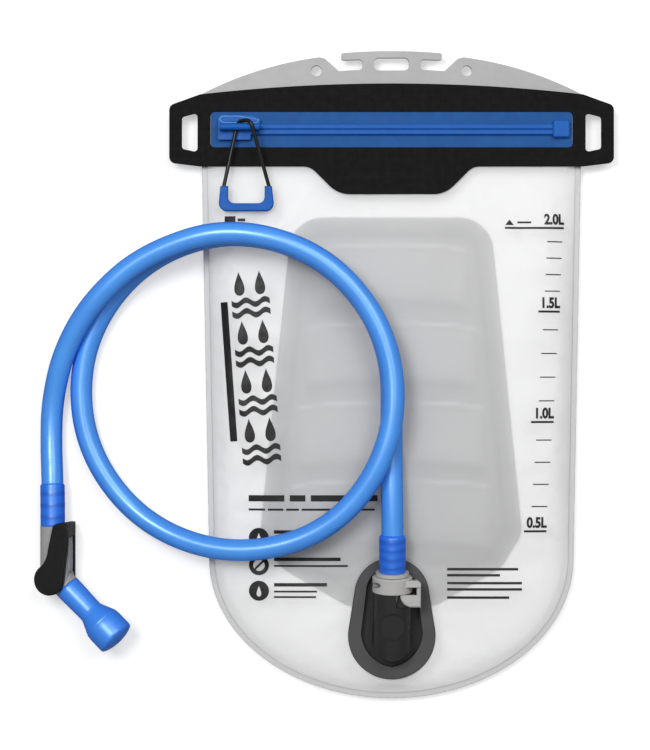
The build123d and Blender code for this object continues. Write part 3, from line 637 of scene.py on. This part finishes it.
film_swell = 0.002  # metres
panel = make_back_panel()
front = make_front_film()
rear = make_rear_film()
inflate(front, film_swell)
refine(front, film_visual_thickness * MM)
refine(rear, -film_visual_thickness * MM)

# ------------------------------------------------------------------ printing on the film
print_lift = 0.0002
print_depth = 0.00006


class Printer:
    """Collects flat shapes in mm and lays them on the front film as one thin piece."""

    def __init__(self):
        self.points, self.faces = [], []

    def add(self, spots, faces):
        first = len(self.points)
        self.points += [tuple(p) for p in spots]
        self.faces += [tuple(first + i for i in f) for f in faces]

    def shape(self, outline, holes=(), pitch=3.0):
        self.add(*mesh_region(outline, holes, (), pitch))

    def bar(self, start, end, width):
        """A straight bar between two points."""
        along = Vector(end) - Vector(start)
        across = Vector((-along.y, along.x)).normalized() * width
        count, rows = max(1, round(along.length / 2)), math.ceil(width / 1.5)
        spots = [
            Vector(start) + along * i / count + across * (j / rows - 0.5)
            for j in range(rows + 1)
            for i in range(count + 1)
        ]
        self.grid(spots, count + 1)

    def grid(self, spots, n):
        """Rows of n points each, joined into quads."""
        starts = [j + i for j in range(0, len(spots) - n, n) for i in range(n - 1)]
        self.add(spots, [(i, i + 1, n + i + 1, n + i) for i in starts])

    def text(self, words, place, height, width_share=0.82):
        """Upright numbers whose lower right corner is at place."""
        curve = bpy.data.curves.new("words", "FONT")
        curve.body = words
        curve.size = height / 0.72
        curve.align_x = "RIGHT"
        curve.offset = 0.06 * height
        curve.resolution_u = 6
        holder = link("words", curve)
        mesh = bpy.data.meshes.new_from_object(holder)
        spots = [(place[0] + v.co.x * width_share, place[1] + v.co.y) for v in mesh.vertices]
        self.add(spots, [tuple(f.vertices) for f in mesh.polygons])
        bpy.data.objects.remove(holder)
        bpy.data.curves.remove(curve)
        bpy.data.meshes.remove(mesh)

    def lay(self, name, tree):
        points = []
        for x, y in self.points:
            hit = tree.ray_cast(Vector((x * MM, y * MM, 0.1)), Vector((0, 0, -1)))[0]
            points.append((x * MM, y * MM, hit.z + print_lift))
        piece = make_mesh(name, points, self.faces, smooth=False)
        thick = piece.modifiers.new("thick", "SOLIDIFY")
        thick.thickness = print_depth
        thick.offset = 0
        return piece


# label, height up the bag, right end and length of each long line, share of the way between short lines
scale_marks = [
    ("2.0L", 80.7, 94.7, 12.6, 0.197),
    ("1.5L", 34.7, 92.1, 12.2, 0.2144),
    ("1.0L", -25.7, 88.5, 12.6, 0.2025),
    ("0.5L", -85.6, 84.7, 12.4, 0.2),
]


def print_scale():
    """Fill scale: a labelled line every half litre and four short lines between."""
    ink = Printer()
    for label, y, right, length, _ in scale_marks:
        ink.bar((right - length, y), (right, y), 1.1)
        ink.text(label, (right, y + 2.2), 5.6)
    _, top_y, top_right, top_length, _ = scale_marks[0]
    ink.bar((62.0, top_y), (top_right - top_length, top_y), 1.1)
    ink.shape([(64.6, top_y + 4.6), (62.2, top_y + 1.6), (67.0, top_y + 1.6)])
    ink.bar((69.0, top_y + 3.1), (76.6, top_y + 3.1), 1.0)
    for (_, high, high_right, _, step), (_, low, low_right, *_) in zip(scale_marks, scale_marks[1:]):
        for k in range(4):
            y = high + (low - high) * (0.165 + k * step)
            right = high_right + (low_right - high_right) * (k + 1) / 5 - 0.4
            ink.bar((right - 8.6, y), (right, y), 0.6)
    return ink


def drop_outline(centre, size, turn):
    """A water drop, its point turned by turn radians from straight up."""
    made = []
    for i in range(40):
        t = 2 * math.pi * i / 40
        x, y = math.sin(t) * math.sin(t / 2) ** 1.6 * 0.62, math.cos(t)
        c, s = math.cos(turn), math.sin(turn)
        made.append((centre[0] + (x * c - y * s) * size, centre[1] + (x * s + y * c) * size))
    return made


def print_emblem():
    """A column of plain drops and waves beside a long bar, leaning with the bag's side."""
    ink = Printer()
    top, bottom, width = Vector((-78.5, 57.0)), Vector((-70.8, -50.0)), 21.0
    down = (bottom - top).normalized()
    across = Vector((-down.y, down.x))
    cells = 8
    cell = (bottom - top).length / cells
    turn = math.atan2(across.y, across.x)

    def spot(u, v):
        return tuple(top + down * v + across * u)

    for k in range(cells):
        middle = (k + 0.5) * cell
        if k % 2 == 0:
            for side in (-1, 1):
                ink.shape(drop_outline(spot(side * width * 0.27, middle), 6.6, turn), pitch=1.5)
        else:
            for row in (-1, 1):
                wave = [
                    (u, middle + row * 2.9 + 1.25 * math.sin(u * 2 * math.pi / 10.5))
                    for u in np.linspace(-width / 2, width / 2, 43)
                ]
                ink.grid([spot(u, v + side) for side in (-1.55, 0.0, 1.55) for u, v in wave], len(wave))
    ink.bar(spot(-width / 2 - 4.2, cell * 1.2), spot(-width / 2 - 4.2, cell * 6.9), 3.9)
    return ink


def print_notes():
    """Bars in place of the written notes, and three round pictograms."""
    ink = Printer()
    left = -78.4
    for start, end in ((0, 19.5), (22.5, 31.0), (34.0, 70.5)):
        ink.bar((left + start, -67.4), (left + end, -67.4), 3.4)
    for start, end in ((0, 9.0), (10.5, 19.0), (20.5, 27.5), (29.0, 47.0), (49.0, 69.0)):
        ink.bar((left + start, -73.6), (left + end, -73.6), 1.1)
    for k, y in enumerate((-89.2, -104.4, -118.4)):
        disc_at = (-72.9, y)
        disc = arc_points(disc_at, 5.5, 5.5, 0, 2 * math.pi, 0.9)
        drop = drop_outline((disc_at[0], disc_at[1] - 0.2), 3.0, 0)
        ring = arc_points(disc_at, 3.2, 3.2, 0, 2 * math.pi, 0.9)
        ink.shape(disc, [ring if k == 1 else drop], pitch=2.0)
        if k == 1:
            ink.bar((disc_at[0] - 2.4, y - 2.4), (disc_at[0] + 2.4, y + 2.4), 1.1)
        heading, lines = ((31.0, (27.5,)), (36.5, (40.5,)), (29.0, (23.5, 23.0)))[k]
        ink.bar((-64.6, y + 3.3), (-64.6 + heading, y + 3.3), 1.9)
        for row, length in enumerate(lines):
            ink.bar((-64.6, y - 0.4 - 3.0 * row), (-64.6 + length, y - 0.4 - 3.0 * row), 1.0)
    for y, length in ((-106.6, 39.0), (-109.9, 29.0), (-114.2, 41.0), (-117.6, 41.0), (-122.1, 34.0)):
        ink.bar((30.4, y), (30.4 + length, y), 1.35)
    ink.bar((-91.8, 85.1), (-85.8, 85.1), 4.2)
    ink.bar((-84.6, 85.1), (-80.4, 85.1), 1.6)
    return ink


film_tree = BVHTree.FromObject(front, bpy.context.evaluated_depsgraph_get())
printed = [
    print_scale().lay("print_scale", film_tree),
    print_emblem().lay("print_emblem", film_tree),
    print_notes().lay("print_notes", film_tree),
]


# ------------------------------------------------------------------ materials
def linear(red, green, blue):
    """A colour given as it looks on a screen, 0 to 255, as the light it stands for."""
    return tuple(
        c / 255 / 12.92 if c <= 10 else ((c / 255 + 0.055) / 1.055) ** 2.4 for c in (red, green, blue)
    ) + (1.0,)


class Shader:
    """A material's node tree, built a node at a time."""

    def __init__(self, name):
        self.material = bpy.data.materials.new(name)
        self.material.use_nodes = True
        self.tree = self.material.node_tree
        self.tree.nodes.clear()

    def node(self, kind, inputs=None, **settings):
        made = self.tree.nodes.new("ShaderNode" + kind)
        for key, value in settings.items():
            setattr(made, key, value)
        for key, value in (inputs or {}).items():
            if isinstance(value, bpy.types.NodeSocket):
                self.tree.links.new(value, made.inputs[key])
            else:
                made.inputs[key].default_value = value
        return made

    def place(self):
        return self.node("TexCoord").outputs["Object"]

    def noise(self, scale, detail=3.0, rough=0.5):
        inputs = {"Vector": self.place(), "Scale": scale, "Detail": detail, "Roughness": rough}
        return self.node("TexNoise", inputs).outputs["Fac"]

    def waves(self, scale, axis, distortion=0.0):
        inputs = {"Vector": self.place(), "Scale": scale, "Distortion": distortion}
        return self.node("TexWave", inputs, bands_direction=axis).outputs["Fac"]

    def math(self, operation, first, second=0.0):
        return self.node("Math", {0: first, 1: second}, operation=operation).outputs[0]

    def spread(self, value, low, high, out_low, out_high):
        """value's range low to high turned into out_low to out_high."""
        inputs = {"Value": value, "From Min": low, "From Max": high, "To Min": out_low, "To Max": out_high}
        return self.node("MapRange", inputs).outputs["Result"]

    def blend(self, share, first, second):
        made = self.node("Mix", {"Factor": share}, data_type="RGBA")
        for socket, value in ((6, first), (7, second)):
            if isinstance(value, bpy.types.NodeSocket):
                self.tree.links.new(value, made.inputs[socket])
            else:
                made.inputs[socket].default_value = value
        return made.outputs[2]

    def attribute(self, name):
        return self.node("Attribute", attribute_name=name).outputs["Fac"]

    def bump(self, height, depth, strength=0.6, normal=None):
        inputs = {"Height": height, "Distance": depth, "Strength": strength}
        if normal is not None:
            inputs["Normal"] = normal
        return self.node("Bump", inputs).outputs["Normal"]

    def principled(self, inputs):
        return self.node("BsdfPrincipled", inputs).outputs["BSDF"]

    def finish(self, shader):
        self.node("OutputMaterial", {"Surface": shader})
        return self.material


def shade(colour, factor):
    return tuple(min(1.0, c * factor) for c in colour[:3]) + (1.0,)


def moulded(name, colour, roughness=0.4, grain=2600.0, depth=0.00002, vary=0.10, shine=0.3, **sockets):
    """Moulded plastic: faint cloudy colour, fine texture, uneven gloss."""
    made = Shader(name)
    cloud = made.noise(55.0, 4.0)
    speck = made.noise(grain, 2.0)
    share = made.spread(cloud, 0.3, 0.7, 0.0, 1.0)
    tint = made.blend(share, shade(colour, 1 - vary), shade(colour, 1 + vary))
    tint = made.blend(made.spread(speck, 0.35, 0.75, 0.0, 0.35), tint, shade(colour, 1 + 2.5 * vary))
    gloss = made.spread(made.noise(320.0, 3.0), 0.3, 0.7, roughness * 0.85, min(1.0, roughness * 1.2))
    inputs = {
        "Base Color": tint,
        "Roughness": gloss,
        "Specular IOR Level": shine,
        "Normal": made.bump(speck, depth),
        **sockets,
    }
    return made.finish(made.principled(inputs))


def film_material(name, clear, sharp, haze):
    """Frosted film: part milky, part see-through with blur; painted shade makes its milky colour greyer and
    duller towards its weld, where it also lets less through.
    """
    made = Shader(name)
    grain = made.noise(1500.0, 3.0, 0.6)
    cloud = made.noise(38.0, 3.0)
    # Painted shade: the milky colour darkens with the edge weight, towards the weld.
    milky = made.blend(made.attribute("edge"), linear(*haze), linear(*(c * 0.9 for c in haze)))
    milky = made.blend(made.spread(cloud, 0.3, 0.7, 0.0, 0.35), milky, linear(*(c * 0.97 for c in haze)))
    milky = made.blend(made.spread(grain, 0.4, 0.7, 0.0, 0.25), milky, linear(*(c * 0.94 for c in haze)))
    weld = made.attribute("weld")
    milky = made.blend(weld, milky, linear(208, 208, 208))
    seam = made.math("MULTIPLY", weld, made.math("SUBTRACT", 1.0, weld))
    milky = made.blend(made.spread(seam, 0.0, 0.25, 0.0, 0.45), milky, linear(140, 140, 141))
    passing = made.spread(made.attribute("edge"), 0.0, 1.0, clear, clear * 0.55)
    passing = made.math("MULTIPLY", passing, made.spread(weld, 0.0, 1.0, 1.0, 0.5))
    normal = made.bump(grain, 0.000005, 0.5)
    body = made.principled({
        "Base Color": milky,
        "Roughness": made.spread(cloud, 0.3, 0.7, 0.32, 0.38),
        "IOR": 1.3,
        "Specular IOR Level": 0.3,
        "Transmission Weight": passing,
        "Normal": normal,
    })
    through = made.node("BsdfTransparent", {"Color": (0.96, 0.96, 0.96, 1.0)}).outputs[0]
    path = made.node("LightPath").outputs
    lit = made.math("MAXIMUM", path["Is Shadow Ray"], path["Is Diffuse Ray"])
    unblurred = made.math("MULTIPLY", sharp, made.spread(weld, 0.0, 1.0, 1.0, 0.3))
    lit = made.math("MAXIMUM", lit, unblurred)
    return made.finish(made.node("MixShader", {0: lit, 1: body, 2: through}).outputs[0])


def rear_film_material():
    """Thin clear film that lies on the panel: mostly see-through, with a little haze."""
    made = Shader("film_rear_clear")
    cloud = made.noise(45.0, 3.0)
    haze = made.blend(cloud, linear(236, 236, 236), linear(250, 250, 250))
    body = made.principled({
        "Base Color": haze,
        "Roughness": made.spread(made.noise(300.0), 0.3, 0.7, 0.25, 0.4),
        "Normal": made.bump(made.noise(1500.0), 0.00002, 0.4),
    })
    through = made.node("BsdfTransparent", {"Color": (0.98, 0.98, 0.98, 1.0)}).outputs[0]
    share = made.spread(made.attribute("weld"), 0.0, 1.0, 0.92, 0.45)
    share = made.math("MULTIPLY", share, made.spread(cloud, 0.2, 0.8, 0.95, 1.0))
    return made.finish(made.node("MixShader", {0: share, 1: body, 2: through}).outputs[0])


def panel_material():
    """Moulded mesh cloth over foam: fine woven dots; its pads painted lighter than the rim and their own
    edges, painted shade along its pressed lines and under the pads, and painted highlights along the pads'
    upper edges and its outer edge.
    """
    made = Shader("panel_cloth")
    weave = made.math("MULTIPLY", made.waves(520.0, "X"), made.waves(520.0, "Y"))
    grey_low, grey_high = linear(106, 106, 106), linear(148, 148, 148)
    # Painted shade: the raised pads lighter than the rim, darker over their sloping edges.
    colour = made.blend(made.spread(made.attribute("pad"), 0.3, 1.0, 0.0, 1.0), grey_low, grey_high)
    colour = made.blend(made.spread(weave, 0.1, 0.6, 0.0, 0.35), colour, linear(104, 104, 105))
    patches = made.spread(made.noise(70.0, 4.0), 0.3, 0.7, 0.0, 0.2)
    colour = made.blend(patches, colour, linear(122, 122, 123))
    # Painted shade along the rim's pressed line and under each pad.
    colour = made.blend(made.attribute("groove_shade"), colour, linear(40, 40, 41))
    # Painted highlight along the pads' upper edges and the panel's outer edge.
    colour = made.blend(made.attribute("lit"), colour, linear(190, 190, 191))
    return made.finish(made.principled({
        "Base Color": colour,
        "Roughness": 0.85,
        "Sheen Weight": 0.2,
        "Sheen Roughness": 0.5,
        "Normal": made.bump(weave, 0.00025, 0.7),
    }))


def ripstop(name, colour, grid, roughness, shine, depth=0.00006):
    """Coated cloth: fine plain weave with a raised thread every few millimetres."""
    made = Shader(name)
    threads = made.math("ADD", made.waves(900.0, "X", 0.4), made.waves(900.0, "Y", 0.4))
    lines = made.math("MAXIMUM", made.waves(grid, "X"), made.waves(grid, "Y"))
    raised = made.spread(lines, 0.985, 1.0, 0.0, 1.0)
    height = made.math("ADD", made.math("MULTIPLY", threads, 0.25), raised)
    wear_and_highlight = made.spread(made.noise(90.0, 4.0), 0.35, 0.75, 0.0, 0.6)
    tint = made.blend(wear_and_highlight, shade(colour, 0.85), shade(colour, 1.25))
    tint = made.blend(made.spread(threads, 0.2, 1.6, 0.0, 0.4), tint, shade(colour, 1.5))
    tint = made.blend(made.math("MULTIPLY", raised, 0.5), tint, shade(colour, 1.9))
    return made.finish(made.principled({
        "Base Color": tint,
        "Roughness": made.spread(made.noise(260.0), 0.3, 0.7, roughness * 0.9, roughness * 1.15),
        "Specular IOR Level": shine,
        "Normal": made.bump(height, depth),
    }))


depth_tint = (0.5, 0.74, 1.0, 1.0)  # of the tube's clear outer layer, deeper where it is seen at a slant


def tubing(name, colour, glow, roughness, band_colour=None):
    """Tinted tube or silicone: deeper towards its sides, glossy, hazy where a nipple sits inside."""
    made = Shader(name)
    cloud = made.noise(42.0, 3.0)
    tint = made.blend(made.spread(cloud, 0.3, 0.7, 0.0, 1.0), shade(colour, 0.93), shade(colour, 1.06))
    if band_colour:
        share = made.math("MULTIPLY", made.attribute("band"), 0.75)
        tint = made.blend(share, tint, band_colour)
    return made.finish(made.principled({
        "Base Color": tint,
        "Roughness": made.spread(cloud, 0.3, 0.7, roughness * 0.95, roughness * 1.05),
        "Transmission Weight": glow,
        "IOR": 1.7,
        "Specular IOR Level": 1.0,
        "Coat Weight": 1.0,
        "Coat Roughness": 0.1,
        "Coat IOR": 1.06,
        "Coat Tint": depth_tint,
        "Normal": made.bump(made.noise(500.0, 2.0), 0.000004, 0.4),
    }))


def port_material():
    """Satin plate, with painted shade darkening its recess with depth."""
    made = Shader("port_plastic")
    level = made.node("SeparateXYZ", {"Vector": made.place()}).outputs["Z"]
    speck = made.noise(1900.0, 2.0)
    cloud = made.noise(60.0, 4.0)
    tint = made.blend(made.spread(cloud, 0.3, 0.7, 0.0, 1.0), linear(72, 72, 73), linear(80, 80, 81))
    tint = made.blend(made.spread(speck, 0.35, 0.75, 0.0, 0.3), tint, linear(84, 84, 85))
    # Painted shade: the deeper the surface lies in the recess, the darker.
    depth = made.spread(level, port_low.z * MM + 0.0003, port_high.z * MM - 0.0006, 1.0, 0.0)
    tint = made.blend(depth, tint, linear(38, 38, 39))
    return made.finish(made.principled({
        "Base Color": tint,
        "Roughness": made.spread(cloud, 0.3, 0.7, 0.5, 0.62),
        "Specular IOR Level": 0.2,
        "Normal": made.bump(speck, 0.00002),
    }))


def steel():
    made = Shader("spring_wire")
    brushed = made.noise(1800.0, 3.0)
    return made.finish(made.principled({
        "Base Color": made.blend(brushed, (0.50, 0.50, 0.51, 1), (0.68, 0.68, 0.68, 1)),
        "Metallic": 1.0,
        "Roughness": made.spread(brushed, 0.3, 0.7, 0.22, 0.4),
        "Normal": made.bump(brushed, 0.00001),
    }))


blue_zip = linear(22, 90, 172)
finishes = {
    "film": film_material("film_frosted", 0.42, 0.6, (253, 253, 253)),
    "film_rear": rear_film_material(),
    "panel": panel_material(),
    "ink": moulded("ink_black", linear(28, 27, 28), 0.5, depth=0.00001),
    "hanger": moulded("hanger_plastic", linear(170, 170, 171), 0.45, vary=0.05),
    "band": ripstop("band_ripstop", linear(20, 20, 20), 62.0, 0.7, 0.08),
    "tape": ripstop("tape_coated", linear(29, 80, 142), 310.0, 0.6, 0.15, depth=0.00003),
    "zip": moulded("zip_plastic", blue_zip, 0.45, vary=0.06, shine=0.15),
    # Lighter blue of the painted highlight line on the slider's ridge.
    "wear_and_highlight": moulded("zip_edge_highlight", linear(96, 166, 226), 0.4, vary=0.08),
    "wire": moulded("wire_coating", linear(26, 24, 23), 0.35, grain=3800.0),
    "port": port_material(),
    "cover": moulded("cover_plastic", linear(42, 42, 43), 0.42, grain=900.0, depth=0.000004, shine=0.25),
    "coupling": moulded("coupling_plastic", linear(176, 175, 174), 0.42, vary=0.05),
    "valve": moulded("valve_plastic", linear(156, 156, 157), 0.38, vary=0.06),
    "lever": moulded("lever_plastic", linear(25, 24, 24), 0.45, grain=2100.0, shine=0.2),
    "rubber": moulded("seal_rubber", linear(30, 30, 31), 0.7),
    "steel": steel(),
    "hose": tubing("hose_tubing", linear(116, 184, 255), 0.06, 0.3),
    "cuff": tubing("hose_end", linear(62, 138, 240), 0.06, 0.36, linear(38, 104, 200)),
    "bite": tubing("bite_silicone", linear(98, 168, 255), 0.06, 0.36),
}

node_finish = {
    "hanger": "hanger", "zip_surround": "band", "zipper_tape_upper": "tape", "zipper_tape_lower": "tape",
    "zipper_track_upper": "zip", "zipper_track_lower": "zip", "zipper_end_stop": "zip",
    "zipper_slider": "zip", "pull_wire": "wire", "pull_grip": "zip", "port_base": "port",
    "port_backing_ring": "port", "port_socket": "cover", "port_seat": "rubber", "port_poppet": "coupling",
    "poppet_spring": "steel",
    "coupling_collar": "coupling", "coupling_spout": "coupling", "coupling_o_rings": "rubber",
    "release_button": "coupling", "valve_body": "valve", "valve_thumb_pad": "valve", "valve_core": "valve",
    "valve_o_rings": "rubber", "valve_lever": "lever", "hose": "hose", "bite_valve": "bite",
    "front_film": "film", "rear_film": "film_rear", "back_panel": "panel",
}


def wear(piece, finish):
    """Gives a piece or CAD node its material."""
    if len(piece.material_slots) == 0:
        piece.data.materials.append(finishes[finish])
    for place in piece.material_slots:
        place.material = finishes[finish]


for node, finish in node_finish.items():
    wear(frame["nodes"][node], finish)

own_pieces = [
    (hose, "hose", "hose", "hose_blue"), (port_cuff, "cuff", None, "hose_blue"),
    (valve_cuff, "cuff", None, "hose_blue"), (bite, "bite", "bite_valve", "bite_silicone"),
    (front, "film", "front_film", "film_clear"), (rear, "film_rear", "rear_film", "film_clear"),
    (panel, "panel", "back_panel", "panel_grey"),
] + [(piece, "ink", None, None) for piece in printed]
wear(edge_line, "wear_and_highlight")
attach(edge_line, "slider")
for piece, finish, stands_for, slot in own_pieces:
    wear(piece, finish)
    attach(piece, "reservoir")
    if stands_for:
        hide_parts(stands_for)

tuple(hose_route[0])


# ------------------------------------------------------------------ floor and light
def make_floor():
    """A wide pale floor, a little brighter than its own light alone."""
    half = 8.0
    corners = [(-half, -half, 0), (half, -half, 0), (half, half, 0), (-half, half, 0)]
    floor = make_mesh("floor", corners, [(0, 1, 2, 3)])
    made = Shader("floor_pale")
    path = made.node("LightPath").outputs
    seen = made.math("MAXIMUM", path["Is Camera Ray"], path["Is Transmission Ray"])
    grey = made.spread(seen, 0.0, 1.0, 0.4, 0.72)
    plain = made.node("BsdfDiffuse", {"Color": grey}).outputs[0]
    strength = made.math("MULTIPLY", seen, 0.44)
    glow = made.node("Emission", {"Color": (1, 1, 1, 1), "Strength": strength}).outputs[0]
    floor.data.materials.append(made.finish(made.node("AddShader", {0: plain, 1: glow}).outputs[0]))


def make_light(name, place, size, power, target=(0.0, 0.0, 0.0)):
    data = bpy.data.lights.new(name, "AREA")
    data.shape, data.size, data.size_y, data.energy = "RECTANGLE", size[0], size[1], power
    lamp = link(name, data)
    lamp.location = place
    lamp.rotation_mode = "QUATERNION"
    lamp.rotation_quaternion = (Vector(target) - Vector(place)).to_track_quat("-Z", "Y")


make_floor()
make_light("key", (0.45, 0.65, 1.45), (0.9, 0.9), 10.4)
make_light("streak", (-0.5, 0.4, 1.5), (0.5, 0.5), 13.0)
make_light("top", (-0.05, 0.0, 1.9), (0.7, 1.2), 3.0)

world = bpy.data.worlds.new("studio")
world.use_nodes = True
world.node_tree.nodes["Background"].inputs["Color"].default_value = (1, 1, 1, 1)
world.node_tree.nodes["Background"].inputs["Strength"].default_value = 0.18
bpy.context.scene.world = world
bpy.context.scene.view_settings.view_transform = "Standard"
